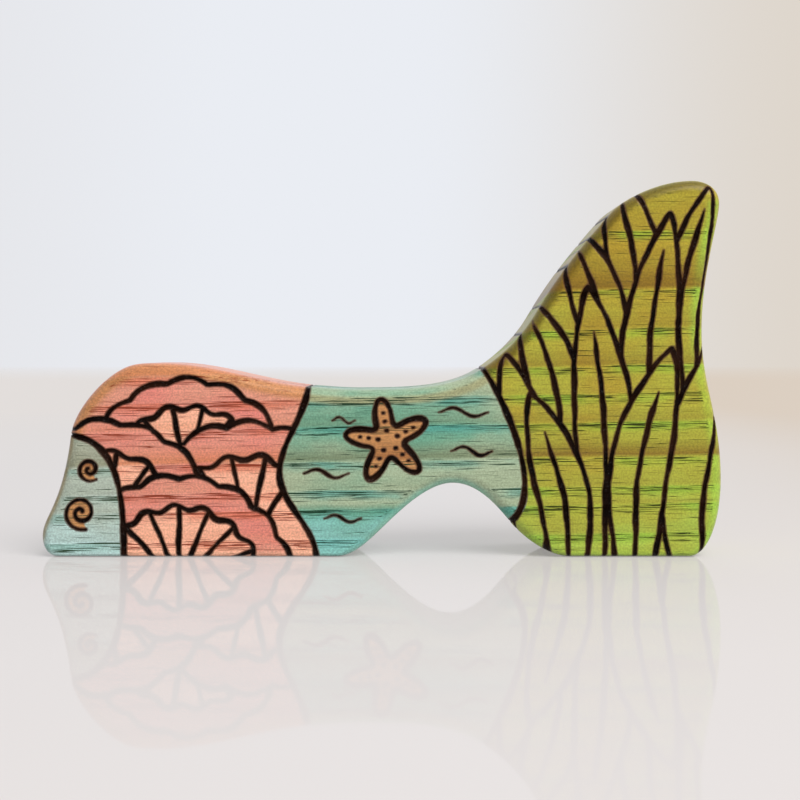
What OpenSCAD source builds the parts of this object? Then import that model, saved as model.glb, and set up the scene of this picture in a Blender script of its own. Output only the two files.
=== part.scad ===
// A stained wooden scenery block: a low mound, a saddle over an arch, and a leaning tower.
// Units are millimetres, +Z is up and +X runs from the mound to the tower.
// The origin is under the middle of the block, on the table, and the pictured face looks along -Y.
// The block is one profile of one board thickness, with hand-rounded edges.
// Four stained pieces meet face to face on curved glue lines: end, mound, bridge and tower.

/* [Block] */
// length from the mound's toe to the tower's side
length = 167; // [146:1:190]
// thickness of the board
thickness = 28; // [18:0.5:40]
// radius of the rounded front and back edges
edge_radius = 3; // [1:0.1:3.6]
// radius left on the edges of the sanded base
base_edge_radius = 1; // [0.4:0.1:2]

/* [Mound] */
// height of the mound's crest above the table
mound_height = 47.5; // [43:0.5:56]
// distance of the crest from the left end
crest_inset = 29.5; // [26:0.5:36]
// how far the mound's shoulder lies left of the crest
shoulder_run = 10; // [7:0.5:13]
// how far the mound's shoulder lies below the crest
shoulder_drop = 1.5; // [0.5:0.1:3]
// how far the flat base starts in from the left end
left_toe = 4; // [3.5:0.1:7]
// height of the foremost point of the left toe
toe_height = 5; // [3.5:0.1:8]
// how far the left side leans in where the end piece stops
left_lean = 7; // [3:0.1:9]

/* [Bridge] */
// height of the saddle's lowest point
saddle_height = 41; // [36:0.5:45]
// the saddle's lowest point, left of the middle of the block
saddle_shift = 6; // [2:0.5:10]
// height of the arch
arch_height = 18; // [13:0.5:23]
// width of the arch at the table
arch_width = 57; // [46:0.5:64]
// centre of the arch, right of the middle of the block
arch_shift = 17.5; // [12:0.5:22]

/* [Tower] */
// height of the tower's tip above the table
tower_height = 92.4; // [84:0.1:104]
// distance of the slope's foot from the right end
slope_foot_inset = 58.7; // [54.5:0.1:62]
// height of the slope's foot above the saddle
slope_foot_rise = 5.2; // [4:0.1:7]
// distance of the slope's steepest point from the right end
slope_inset = 45.5; // [41:0.5:48]
// height of the slope's steepest point above the saddle
slope_rise = 19; // [15:0.5:23]
// distance of the slope's top from the right end
slope_top_inset = 27; // [22:0.5:30]
// how far the slope's top lies below the tip
slope_top_drop = 7.8; // [6:0.1:10]
// width of the tip's rounded corner
tip_width = 7.2; // [6:0.1:9]
// how far the tip's corner stands in from the right end
tip_set_back = 0.4; // [0:0.1:1.5]
// depth of the tip's rounded corner
tip_drop = 6.2; // [5:0.1:9]
// how far the right side is drawn in at its waist
waist_depth = 4.7; // [1:0.1:7]
// height of the waist
waist_height = 55.4; // [45:0.1:65]
// height of the widest point of the tower's foot
belly_height = 19; // [14:0.5:25]
// how far the flat base ends in from the right end
right_toe = 8; // [6:0.1:12]

/* [Glue lines] */
// where the mound's glue line meets the saddle, left of the middle
mound_line_top = 18; // [13:0.5:24]
// how far the mound's glue line lies above the saddle there
mound_line_rise = 0.7; // [0.3:0.1:1.5]
// where the mound's glue line meets the base, left of the middle
mound_line_base = 16; // [13.5:0.5:22]
// how far the mound's glue line bows to the left
mound_line_bow = 8; // [2:0.5:12]
// height at which the end piece's glue line meets the left side
end_line_height = 30; // [26:0.5:34]
// where the end piece's glue line meets the base, in from the left end
end_line_base = 20.5; // [16:0.5:24]
// where the bridge's glue line meets the arch, right of the arch's centre
bridge_line_run = 14; // [11:0.5:17]
// height at which the bridge's glue line meets the arch
bridge_line_height = 8.6; // [6:0.1:11]

/* [Hidden] */
left = -length / 2;
right = length / 2;
arch_half = arch_width / 2;
base_share = base_edge_radius / edge_radius;
round_steps = 5;
seam_steps = 24;

// A knot of the profile: x, z, travel direction in degrees, handle before, handle after, share of radius.
// A handle is a share of the straight distance to the next knot on that side.
// The knots run clockwise: up the left side, over the top, down the right side and back along the base.
left_base = [left + left_toe, 0, 180, 0.33, 0.41, base_share];
left_side = [left, toe_height, 90, 0.41, 0.19, 1];
end_top = [left + left_lean, end_line_height, 83, 0.7, 0.25, 1];
shoulder = [left + crest_inset - shoulder_run, mound_height - shoulder_drop, 28, 0.34, 0.35, 1];
crest = [left + crest_inset, mound_height, 0, 0.4, 0.33, 1];
mound_top = [-mound_line_top, saddle_height + mound_line_rise, -5, 0.33, 0.33, 1];
saddle = [-saddle_shift, saddle_height, 0, 0.33, 0.38, 1];
slope_foot = [right - slope_foot_inset, saddle_height + slope_foot_rise, 34, 0.29, 0.31, 1];
slope = [right - slope_inset, saddle_height + slope_rise, 60, 0.37, 0.29, 1];
slope_top = [right - slope_top_inset, tower_height - slope_top_drop, 48, 0.39, 0.2, 1];
tip = [right - tip_width, tower_height, 0, 0.39, 0.46, 1];
tip_side = [right - tip_set_back, tower_height - tip_drop, -95, 0.42, 0.19, 1];
waist = [right - waist_depth, waist_height, -90, 0.45, 0.38, 1];
belly = [right, belly_height, -90, 0.44, 0.49, 1];
right_base = [right - right_toe, 0, 180, 0.24, 0.33, base_share];
arch_right = [arch_shift + arch_half, 0, 180, 0.33, 0.3, base_share];
bridge_base = [arch_shift + bridge_line_run, bridge_line_height, 129, 0.3, 0.3, 1];
arch_top = [arch_shift, arch_height, 180, 0.36, 0.3, 1];
arch_flank = [arch_shift - 0.6 * arch_half, 0.4 * arch_height, 224, 0.3, 0.37, 1];
arch_left = [arch_shift - arch_half, 0, 180, 0.3, 0.33, base_share];
mound_base = [-mound_line_base, 0, 180, 0.33, 0.33, base_share];
end_base = [left + end_line_base, 0, 180, 0.33, 0.33, base_share];

// The glue lines leave the profile square to it, so the rounding of an edge stays on the line.
end_line_start = [end_top[0], end_top[1], end_top[2] - 90, 0, 0.35, 0];
end_line_stop = [end_base[0], end_base[1], -90, 0.55, 0, 0];
mound_line_start = [mound_top[0], mound_top[1], mound_top[2] - 90, 0, 0.33, 0];
mound_line_mid = [
    -(mound_line_top + mound_line_base) / 2 - mound_line_bow, saddle_height / 2, -90, 0.33, 0.33, 0];
mound_line_stop = [mound_base[0], mound_base[1], -90, 0.33, 0, 0];
bridge_line_start = [slope_foot[0], slope_foot[1], slope_foot[2] - 90, 0, 0.29, 0];
bridge_line_stop = [bridge_base[0], bridge_base[1], bridge_base[2] + 90, 0.29, 0, 0];

// A point of the cubic curve from knot a to knot b: x, z, outward normal x and z, share of the radius.
function curve_point(a, b, t) =
    let (p0 = [a[0], a[1]],
         p3 = [b[0], b[1]],
         chord = norm(p3 - p0),
         p1 = p0 + a[4] * chord * [cos(a[2]), sin(a[2])],
         p2 = p3 - b[3] * chord * [cos(b[2]), sin(b[2])],
         s = 1 - t,
         p = s * s * s * p0 + 3 * s * s * t * p1 + 3 * s * t * t * p2 + t * t * t * p3,
         d = s * s * (p1 - p0) + 2 * s * t * (p2 - p1) + t * t * (p3 - p2),
         way = d / norm(d))
    [p[0], p[1], -way[1], way[0], a[5] + (b[5] - a[5]) * t];
function along(knots, steps) = concat(
    [for (s = [0 : len(knots) - 2]) for (i = [0 : steps - 1]) curve_point(knots[s], knots[s + 1], i / steps)],
    [curve_point(knots[len(knots) - 2], knots[len(knots) - 1], 1)]);
function backwards(list) = [for (i = [len(list) - 1 : -1 : 0]) list[i]];
function part_of(list, from, to) = [for (i = [from : to]) list[i]];
// A glue line's ends take the profile's own normal and radius, so both pieces share every point.
function with_ends(line, first, last) =
    [for (i = [0 : len(line) - 1]) i == 0 ? first : i == len(line) - 1 ? last : line[i]];

// The profile's runs, and the three glue lines, each as one list of points.
end_side = along([left_base, left_side, end_top], seam_steps / 6);
mound_side = along([end_top, shoulder], seam_steps / 3);
mound_crown = along([shoulder, crest, mound_top], 8);
bridge_crown = along([mound_top, saddle, slope_foot], 10);
tower_crown = along([slope_foot, slope, slope_top, tip, tip_side], 6);
tower_side = along([tip_side, waist, belly, right_base], seam_steps / 3);
tower_foot = along([right_base, arch_right, bridge_base], 12);
arch = along([bridge_base, arch_top, arch_flank, arch_left, mound_base], 5);
mound_foot = along([mound_base, end_base], 16);
end_foot = along([end_base, left_base], seam_steps / 3);
end_line = with_ends(
    along([end_line_start, end_line_stop], 2 * seam_steps / 3), mound_side[0], end_foot[0]);
mound_line = with_ends(
    along([mound_line_start, mound_line_mid, mound_line_stop], seam_steps / 2),
    bridge_crown[0], mound_foot[0]);
bridge_line = with_ends(
    along([bridge_line_start, bridge_line_stop], seam_steps), tower_crown[0], arch[0]);

// One piece of the board between four sides that meet at their ends.
// The sides run clockwise: crown left to right, right side down, foot right to left, left side up.
// Layers of the same outline are set in along the edges' quarter rounds and skinned together.
// The flat faces are a grid blended from the four sides.
module board_piece(crown, right_side, foot, left_side) {
    n = len(crown) - 1;
    m = len(right_side) - 1;
    outline = concat(crown, part_of(right_side, 1, m), part_of(foot, 1, n), part_of(left_side, 1, m - 1));
    count = 2 * (n + m);
    front = [for (k = [0 : round_steps])
        let (a = 90 * k / round_steps)
        [edge_radius * (1 - sin(a)), edge_radius * (1 - cos(a)) - thickness / 2]];
    layers = concat(front, [for (k = [round_steps : -1 : 0]) [front[k][0], -front[k][1]]]);
    last = len(layers) - 1;
    function set_in(p, layer) =
        [p[0] - p[2] * p[4] * layer[0], layer[1], p[1] - p[3] * p[4] * layer[0]];
    function blend(i, j, layer) =
        let (u = i / n,
             v = j / m,
             top = set_in(crown[i], layer),
             low = set_in(foot[n - i], layer),
             lft = set_in(left_side[m - j], layer),
             rgt = set_in(right_side[j], layer),
             corners = (1 - u) * (1 - v) * set_in(crown[0], layer) + u * (1 - v) * set_in(crown[n], layer)
                 + (1 - u) * v * set_in(foot[n], layer) + u * v * set_in(foot[0], layer))
        (1 - v) * top + v * low + (1 - u) * lft + u * rgt - corners;
    skin = [for (layer = layers) for (p = outline) set_in(p, layer)];
    front_grid = [for (i = [1 : n - 1]) for (j = [1 : m - 1]) blend(i, j, layers[0])];
    back_grid = [for (i = [1 : n - 1]) for (j = [1 : m - 1]) blend(i, j, layers[last])];
    function at(i, j, layer) =
        j == 0 ? layer * count + i
        : i == n ? layer * count + n + j
        : j == m ? layer * count + 2 * n + m - i
        : i == 0 ? layer * count + 2 * n + 2 * m - j
        : len(skin) + (layer == 0 ? 0 : len(front_grid)) + (i - 1) * (m - 1) + j - 1;
    bands = [for (k = [0 : last - 1]) for (p = [0 : count - 1])
        let (q = (p + 1) % count,
             a = k * count + p,
             b = k * count + q,
             c = (k + 1) * count + q,
             d = (k + 1) * count + p)
        p < 2 * n + m ? [a, d, c, b] : [b, a, d, c]];
    front_face = [for (i = [0 : n - 1]) for (j = [0 : m - 1])
        [at(i, j, 0), at(i + 1, j, 0), at(i + 1, j + 1, 0), at(i, j + 1, 0)]];
    back_face = [for (i = [0 : n - 1]) for (j = [0 : m - 1])
        [at(i, j, last), at(i, j + 1, last), at(i + 1, j + 1, last), at(i + 1, j, last)]];
    polyhedron(
        points = concat(skin, front_grid, back_grid),
        faces = concat(bands, front_face, back_face),
        convexity = 6);
}

// The low end under the mound's left flank, stained pale aqua.
module aqua_end() {
    half = seam_steps / 3;
    color("#a9cdc6")
    board_piece(part_of(end_line, 0, half), part_of(end_line, half, 2 * half), end_foot, end_side);
}

// The rounded mound, stained salmon.
module salmon_mound() {
    color("#e8927f")
    board_piece(mound_crown, mound_line, mound_foot,
        concat(backwards(end_line), part_of(mound_side, 1, len(mound_side) - 1)));
}

// The saddle over the arch, stained teal.
module teal_bridge() {
    color("#6fb3ab")
    board_piece(bridge_crown, bridge_line, arch, backwards(mound_line));
}

// The leaning tower on its broad foot, stained yellow green.
module green_tower() {
    color("#a9b545")
    board_piece(tower_crown, tower_side, tower_foot, backwards(bridge_line));
}

aqua_end();
salmon_mound();
teal_bridge();
green_tower();
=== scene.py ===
# %% [markdown]
# # A stained wooden scenery block with a burned drawing
#
# The real block is a thick board sawn to one outline: a low mound on the left, a saddle over an arch,
# and a tall tower that leans to the right. It is sanded round at the edges, stained in four zones,
# drawn on with a hot burning tip and varnished.
#
# The CAD model has four solids that meet on curved glue lines, one for each stain. Their faces are too
# coarse for a burned line 1.3 mm wide, so each gets a fine skin here that replaces it in the picture.
# Lengths are in millimetres until a mesh is made. Lamps and shaders work in metres.

# %% the frame
import math
from collections import namedtuple
from functools import partial

import bpy
import numpy as np
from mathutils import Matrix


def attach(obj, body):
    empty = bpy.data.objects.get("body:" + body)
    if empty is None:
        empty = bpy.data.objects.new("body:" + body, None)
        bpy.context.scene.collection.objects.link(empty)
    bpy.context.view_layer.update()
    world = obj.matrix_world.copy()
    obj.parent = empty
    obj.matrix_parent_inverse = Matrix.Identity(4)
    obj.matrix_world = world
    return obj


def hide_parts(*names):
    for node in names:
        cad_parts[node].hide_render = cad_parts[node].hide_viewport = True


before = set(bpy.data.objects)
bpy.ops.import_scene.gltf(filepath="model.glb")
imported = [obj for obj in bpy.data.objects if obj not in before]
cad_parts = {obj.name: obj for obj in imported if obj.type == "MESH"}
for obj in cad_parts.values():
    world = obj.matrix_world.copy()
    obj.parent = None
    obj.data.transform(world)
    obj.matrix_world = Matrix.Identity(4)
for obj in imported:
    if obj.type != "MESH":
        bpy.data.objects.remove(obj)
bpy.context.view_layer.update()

MM = 0.001

# %% [markdown]
# ## The outline
#
# The outline could be traced as hundreds of points, but then nobody could change it. It is a chain of
# 22 knots joined by cubic curves instead, the same knots as in the CAD source. A knot holds x, z,
# the travel direction in degrees, the length of the curve's handle before and after it (as a share of
# the straight distance to the knot on that side), and its share of the edge radius, because the rounding of
# the base edge is lower than the rest. The chain runs clockwise: up the left end, over the top, down
# the right side and back along the base.

# %% sizes
LENGTH = 167.0
THICKNESS = 28.0
EDGE_RADIUS = 3.0
BASE_EDGE_RADIUS = 1.0
MOUND_HEIGHT = 47.5
SADDLE_HEIGHT = 41.0
TOWER_HEIGHT = 92.4
ARCH_HEIGHT = 18.0
ARCH_SHIFT = 17.5
ARCH_HALF = 28.5
LEFT = -LENGTH / 2
RIGHT = LENGTH / 2
BASE = BASE_EDGE_RADIUS / EDGE_RADIUS
print("the block measures", LENGTH, "x", THICKNESS, "x", TOWER_HEIGHT, "mm")

# %% knots of the outline and of the glue lines
left_base = (LEFT + 4, 0, 180, 0.33, 0.41, BASE)
left_side = (LEFT, 5, 90, 0.41, 0.19, 1)
end_top = (LEFT + 7, 30, 83, 0.7, 0.25, 1)
shoulder = (LEFT + 19.5, MOUND_HEIGHT - 1.5, 28, 0.34, 0.35, 1)
crest = (LEFT + 29.5, MOUND_HEIGHT, 0, 0.4, 0.33, 1)
mound_top = (-18, SADDLE_HEIGHT + 0.7, -5, 0.33, 0.33, 1)
saddle = (-6, SADDLE_HEIGHT, 0, 0.33, 0.38, 1)
slope_foot = (RIGHT - 58.7, SADDLE_HEIGHT + 5.2, 34, 0.29, 0.31, 1)
slope = (RIGHT - 45.5, SADDLE_HEIGHT + 19, 60, 0.37, 0.29, 1)
slope_top = (RIGHT - 27, TOWER_HEIGHT - 7.8, 48, 0.39, 0.2, 1)
tip = (RIGHT - 7.2, TOWER_HEIGHT, 0, 0.39, 0.46, 1)
tip_side = (RIGHT - 0.4, TOWER_HEIGHT - 6.2, -95, 0.42, 0.19, 1)
waist = (RIGHT - 4.7, 55.4, -90, 0.45, 0.38, 1)
belly = (RIGHT, 19, -90, 0.44, 0.49, 1)
right_base = (RIGHT - 8, 0, 180, 0.24, 0.33, BASE)
arch_right = (ARCH_SHIFT + ARCH_HALF, 0, 180, 0.33, 0.3, BASE)
bridge_base = (ARCH_SHIFT + 14, 8.6, 129, 0.3, 0.3, 1)
arch_top = (ARCH_SHIFT, ARCH_HEIGHT, 180, 0.36, 0.3, 1)
arch_flank = (ARCH_SHIFT - 0.6 * ARCH_HALF, 0.4 * ARCH_HEIGHT, 224, 0.3, 0.37, 1)
arch_left = (ARCH_SHIFT - ARCH_HALF, 0, 180, 0.3, 0.33, BASE)
mound_base = (-16, 0, 180, 0.33, 0.33, BASE)
end_base = (LEFT + 20.5, 0, 180, 0.33, 0.33, BASE)

end_glue = [(*end_top[:2], end_top[2] - 90, 0, 0.35, 0), (*end_base[:2], -90, 0.55, 0, 0)]
mound_glue = [
    (*mound_top[:2], mound_top[2] - 90, 0, 0.33, 0),
    (-25, SADDLE_HEIGHT / 2, -90, 0.33, 0.33, 0),
    (*mound_base[:2], -90, 0.33, 0, 0),
]
bridge_glue = [
    (*slope_foot[:2], slope_foot[2] - 90, 0, 0.29, 0),
    (*bridge_base[:2], bridge_base[2] + 90, 0.29, 0, 0),
]
print("the mound's crest is at", crest[:2], "and the tip at", tip[:2])

# %% points along a chain of knots


def travelled(p):
    """The distance travelled along a polyline up to each of its points."""
    return np.concatenate([[0], np.cumsum(np.linalg.norm(np.diff(p[:, :2], axis=0), axis=1))])


def run(knots, count, fine=200):
    """Evenly spaced points along a chain of cubic curves.

    Between two knots the curve is s^3 p0 + 3 s^2 t p1 + 3 s t^2 p2 + t^3 p3 with s = 1 - t.
    Each row of the result is x, z, the outward normal's x and z, the share of the edge radius, and 1.
    """
    t = np.linspace(0, 1, fine)[:, None]
    s = 1 - t
    rows = []
    for a, b in zip(knots, knots[1:]):
        p0, p3 = np.array(a[:2], float), np.array(b[:2], float)
        chord = np.linalg.norm(p3 - p0)
        turn = np.radians([a[2], b[2]])
        p1 = p0 + a[4] * chord * np.array([np.cos(turn[0]), np.sin(turn[0])])
        p2 = p3 - b[3] * chord * np.array([np.cos(turn[1]), np.sin(turn[1])])
        p = s**3 * p0 + 3 * s**2 * t * p1 + 3 * s * t**2 * p2 + t**3 * p3
        way = s**2 * (p1 - p0) + 2 * s * t * (p2 - p1) + t**2 * (p3 - p2)
        way /= np.linalg.norm(way, axis=1)[:, None]
        rows.append(np.hstack([p, -way[:, 1:], way[:, :1], a[5] + (b[5] - a[5]) * t]))
    rows = np.vstack([part[:-1] for part in rows] + [rows[-1][-1:]])
    far = travelled(rows)
    at = np.linspace(0, far[-1], count + 1)
    rows = np.stack([np.interp(at, far, column) for column in rows.T], axis=1)
    return np.hstack([rows, np.ones((count + 1, 1))])


print("over the mound in mm:", travelled(run([shoulder, crest, mound_top], 50))[-1].round(1))

# %% glue lines
END_FADE = 12.0


def glue_line(knots, count, first, last):
    """A glue line whose ends lean in with the rounded edges that they meet.

    The normal and the share are those of the outline at the nearer end. The last column says how far
    a point follows that end: 1 at the end, falling evenly to 0 over END_FADE.
    """
    line = run(knots, count)
    far = travelled(line)
    line[:, 2:5] = np.where((far < far[-1] / 2)[:, None], first[2:5], last[2:5])
    line[:, 5] = np.clip(1 - np.minimum(far, far[-1] - far) / END_FADE, 0, 1)
    return line


glue_lengths = [travelled(run(knots, 50))[-1] for knots in (end_glue, mound_glue, bridge_glue)]
print("glue lines in mm:", np.round(glue_lengths, 1))

# %% [markdown]
# ## Burned strokes
#
# A burning tip is pushed by hand, so its track wanders a little, swells where the hand slows and thins
# where it speeds up. A picture of the drawing would be quick, but a burned line is also a groove that
# catches light, so every stroke here is a curve with a half width, and the same distance to
# the nearest stroke both carves the mesh and colours it.

# %% even steps and smooth curves
STROKE_STEP = 0.6


def even(p, step=STROKE_STEP):
    """The same polyline with points about one step apart."""
    far = travelled(p)
    at = np.linspace(0, far[-1], max(2, int(far[-1] / step) + 1))
    return np.stack([np.interp(at, far, column) for column in p.T], axis=1)


def smooth(points, step=STROKE_STEP, fine=40):
    """A Catmull-Rom curve through a few points, with samples about one step apart.

    Each span is a cubic whose slope at a point is half of the way from the point before to the one after.
    """
    p = np.array(points, float)
    p = np.vstack([2 * p[0] - p[1], p, 2 * p[-1] - p[-2]])
    t = np.linspace(0, 1, fine, endpoint=False)[:, None]
    spans = [
        0.5 * (2 * b + (c - a) * t + (2 * a - 5 * b + 4 * c - d) * t**2 + (3 * b - a - 3 * c + d) * t**3)
        for a, b, c, d in zip(p, p[1:], p[2:], p[3:])
    ]
    return even(np.vstack(spans + [p[-2:-1]]), step)


trial_curve = smooth([(0, 0), (15, 4), (30, 0)])
print("a trial curve has", len(trial_curve), "points")

# %% a stroke drawn by hand
# Half the width of a burned line, and the length over which a stroke gets thinner at an end.
LINE_HALF = 0.64
TAPER = 5.0


def by_hand(p, half=LINE_HALF, wander=0.09, thin_start=1.0, thin_end=1.0):
    """A polyline drawn by hand: rows of x, z and half width.

    The sideways wander and the swelling are sums of two sines of the distance drawn, with phases taken
    from where the stroke starts. Over the taper's length, the half width falls to thin_start and thin_end
    of itself at the ends.
    """
    way = np.gradient(p, axis=0)
    way /= np.linalg.norm(way, axis=1)[:, None] + 1e-9
    far = travelled(p)
    phase = p[0, 0] * 1.7 + p[0, 1] * 2.3
    aside = wander * (np.sin(far / 2.9 + phase) + 0.7 * np.sin(far / 1.3 + 2.1 * phase))
    swell = 1 + 0.15 * np.sin(far / 3.7 + 1.4 * phase) + 0.08 * np.sin(far / 1.1 + phase)
    width = half * swell * (thin_start + (1 - thin_start) * np.clip(far / TAPER, 0, 1))
    width *= thin_end + (1 - thin_end) * np.clip((far[-1] - far) / TAPER, 0, 1)
    return np.column_stack([p[:, 0] - way[:, 1] * aside, p[:, 1] + way[:, 0] * aside, width])


trial_widths = 2 * by_hand(trial_curve)[:, 2]
print("drawn by hand it is", trial_widths.min().round(2), "to", trial_widths.max().round(2), "mm wide")

# %% radius and angle


def polar(centre, radius, angle):
    """Points at a radius and an angle in radians from a centre."""
    return np.asarray(centre, float) + np.stack([radius * np.cos(angle), radius * np.sin(angle)], axis=-1)


def around(q, centre):
    """The radius and angle of points about a centre."""
    d = q - np.asarray(centre, float)
    return np.hypot(d[:, 0], d[:, 1]), np.arctan2(d[:, 1], d[:, 0])


print("2 mm away, straight up:", polar((0, 0), 2.0, np.pi / 2).round(2))

# %% [markdown]
# ## The drawing
#
# The drawing is a common sea theme: scallop shells on the mound, a sea star and ripples on the bridge,
# two little whelks on the low end, and eelgrass on the tower. Each motif is a set of strokes, a test for
# the points inside it, and the depth of the stain there: 0 is pale, 1 is deep, and towards 2 the colour
# gets clearer. Motifs are listed from front to back.
#
# A scallop is a fan, so it is drawn in angles and radii about its hinge. Its lip could be a chain of arcs,
# but a sine without its sign gives the same row of bows in one line.

# %% scallop shells
# Shares of a shell's radius: where its lip starts, how far the bows of the lip stand out, how much the lip's
# inner line waves, and where a rib starts, bends and ends.
LIP_START = 0.75
LIP_BOWS = 0.05
LIP_WAVE = 0.025
RIB_STOPS = (0.12, 0.45, 0.76)
Motif = namedtuple("Motif", "lines inside shade fill", defaults=[0.0])


def scallop(hinge, radius, start, stop, ribs):
    """A shell seen flat: ribs from a hinge to a lip whose edge is a row of arcs, between two angles."""
    first, last = math.radians(start), math.radians(stop)
    angle = np.linspace(first, last, 120)

    def edge(a):
        return radius * (1 + LIP_BOWS * np.abs(np.sin(np.pi * ribs * (a - first) / (last - first))))

    wave = np.sin(2 * np.pi * ribs * (angle - first) / (last - first) + 0.6)
    band = radius * (LIP_START + LIP_WAVE * wave)
    lines = [by_hand(even(polar(hinge, edge(angle), angle))), by_hand(even(polar(hinge, band, angle)))]
    for k in range(1, ribs):
        a = first + (last - first) * k / ribs
        turns = (a, a + 0.07 * math.cos(a), a)
        rib = smooth([polar(hinge, share * radius, turn) for share, turn in zip(RIB_STOPS, turns)])
        lines.append(by_hand(rib, 0.92 * LINE_HALF, thin_start=0.6))

    def inside(q):
        r, a = around(q, hinge)
        return edge(np.where(a < -np.pi / 2, a + 2 * np.pi, a)) - r

    def shade(q):
        r, _ = around(q, hinge)
        return np.where(r > LIP_START * radius, 1.5, 0.1 + 0.4 * (r / radius) ** 2)

    return Motif(lines, inside, shade)


shells = [
    scallop((-49.5, -8), 27, 8, 172, 8),
    scallop((-68, 5), 27.5, 10, 200, 8),
    scallop((-33, 2), 30, 35, 185, 7),
    scallop((-47.5, 18.5), 24.3, 8, 172, 7),
]
print(len(shells), "shells")

# %% [markdown]
# A blade of eelgrass could be two curves side by side, but those are hard to keep apart. One middle curve
# with a width that runs out to a point bends as a leaf does. Blades take the tower's own stain.

# %% the tower's stain


def by_height(*steps):
    """A stain whose depth at a point is read off pairs of a height in mm and a depth."""
    heights, depths = zip(*steps)
    return lambda q: np.interp(q[:, 1], heights, depths)


# Clear green at the foot, yellow green half way up and ochre at the top.
meadow = by_height((0, 1.5), (5, 1.35), (15, 1.0), (30, 0.65), (60, 0.55), (68, 0.1), (77, 0.25), (88, 0.5))
print("the tower's stain at mid height:", meadow(np.array([[0.0, TOWER_HEIGHT / 2]])).round(2))

# %% eelgrass


def blade_of_grass(base, bend, point, half, depth, vein):
    """A pointed leaf: a curve through three points, with a half width that is a skewed sine of its length.

    The vein runs up the middle for the given share of the length.
    """
    middle = smooth([base, bend, point], step=0.5)
    t = np.linspace(0, 1, len(middle))
    wide = half * (np.sin(np.pi * t**1.25) ** 0.75 + 0.55 * (1 - t) ** 2)
    way = np.gradient(middle, axis=0)
    way /= np.linalg.norm(way, axis=1)[:, None]
    out = np.column_stack([-way[:, 1], way[:, 0]]) * wide[:, None]
    lines = [by_hand(even(middle + side)) for side in (out, -out)]
    if vein:
        lines.append(by_hand(even(middle[: int(vein * len(middle))]), thin_end=0.3))

    def inside(q):
        gaps = [w - np.hypot(q[:, 0] - m[0], q[:, 1] - m[1]) for m, w in zip(middle[::3], wide[::3])]
        return np.max(gaps, axis=0)

    def shade(q):
        return meadow(q) + depth

    return Motif(lines, inside, shade)


grass = [blade_of_grass(*blade) for blade in (
    ((46, -8), (44.5, 15), (36.5, 40), 5.6, 0.0, 0.8),
    ((62, -8), (63, 22), (71, 51), 6.4, 0.1, 0.82),
    ((75, -8), (74, 22), (85, 58), 5.2, 0.2, 0),
    ((54.5, -4), (54.5, 32), (50.5, 66), 6.4, -0.15, 0.85),
    ((36, -2), (36.5, 22), (30, 50), 5.4, 0.1, 0),
    ((67, 10), (65.5, 50), (70.5, 84), 6.2, 0.0, 0.88),
    ((45, 18), (42, 44), (33, 66), 5.6, 0.1, 0.85),
    ((57, 36), (52.5, 64), (43, 84), 5.6, 0.0, 0.9),
    ((64, 46), (61.5, 74), (56, 97), 5.8, -0.05, 0.9),
    ((74, 36), (73, 62), (80.5, 91), 4.6, 0.1, 0.9),
)]
print(len(grass), "blades of grass")

# %% [markdown]
# Where the stain is kept away, bare brown wood shows. The star and the whelks are left that way. Both are
# curves in angle and radius, because such a curve also tells what is inside.

# %% the sea star
BARE_FILL = 1.0
DOTS = ((0.24, 0.5), (0.46, 0.42), (0.66, 0.34))


def evenly(value):
    """The same value at every point."""
    return lambda q: np.full(len(q), value)


half_deep = evenly(0.4)


def sea_star(centre, radius, turn):
    """A five-armed star with dotted arms.

    Its radius is R (0.4 + 0.6 h^1.5), where h is half of 1 plus the cosine of five times the angle. A dot
    is a very short stroke, with its share of the radius and its half width in mm from DOTS.
    """
    def reach(a):
        return radius * (0.4 + 0.6 * (0.5 + 0.5 * np.cos(5 * (a - math.radians(turn)))) ** 1.5)

    angle = np.linspace(0, 2 * np.pi, 160)
    lines = [by_hand(even(polar(centre, reach(angle), angle)), wander=0.08)]
    for arm in np.radians(turn + 72 * np.arange(5)):
        for share, size in DOTS:
            x, z = polar(centre, share * radius, arm)
            lines.append(np.array([[x, z, size], [x + 0.25, z, size]]))

    def inside(q):
        r, a = around(q, centre)
        return reach(a) - r

    return Motif(lines, inside, half_deep, BARE_FILL)


star = sea_star((1.5, 28.5), 10.5, 100)
print("the star has", len(star.lines) - 1, "dots")

# %% whelks


def whelk(centre, radius, turns, start):
    """A small spiral shell: the radius grows evenly with the angle, from 0.12 of its full size."""
    angle = np.linspace(0, 2 * np.pi * turns, 120)

    def reach(a):
        return radius * (0.12 + 0.88 * a / angle[-1])

    def inside(q):
        r, a = around(q, centre)
        past = (a - start) % (2 * np.pi)
        outer = past + 2 * np.pi * np.floor((angle[-1] - past) / (2 * np.pi))
        return reach(outer) - r

    spiral = polar(centre, reach(angle), angle + start)
    lines = [by_hand(even(spiral, 0.4), 0.7 * LINE_HALF, 0.05, thin_end=0.7)]
    return Motif(lines, inside, half_deep, BARE_FILL)


whelks = [whelk((-73.5, 11), 4.3, 1.7, 0.6), whelk((-71.5, 21.5), 3.0, 1.5, 2.2)]
print(len(whelks), "whelks")

# %% ripples
# A single stroke has no inside.
nowhere = evenly(-1.0)


def ripple(x, z, length, height):
    """A short wave: a sine that dies out at both ends."""
    t = np.linspace(0, 1, 60)
    rise = height * np.sin(2 * np.pi * t) * np.abs(np.sin(np.pi * t)) ** 0.5
    lines = [by_hand(even(np.column_stack([x + length * t, z + rise])), 0.75 * LINE_HALF, 0.06, 0.4, 0.4)]
    return Motif(lines, nowhere, half_deep)


water = [star] + [ripple(*wave) for wave in (
    (14, 35.5, 12, 1.3),
    (17, 26, 10, 1.2),
    (-19, 20.5, 11, 1.2),
    (-12, 33.5, 5.5, 0.9),
    (-14, 9.5, 9, 1.1),
)]
print(len(water), "motifs in the water")

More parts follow.
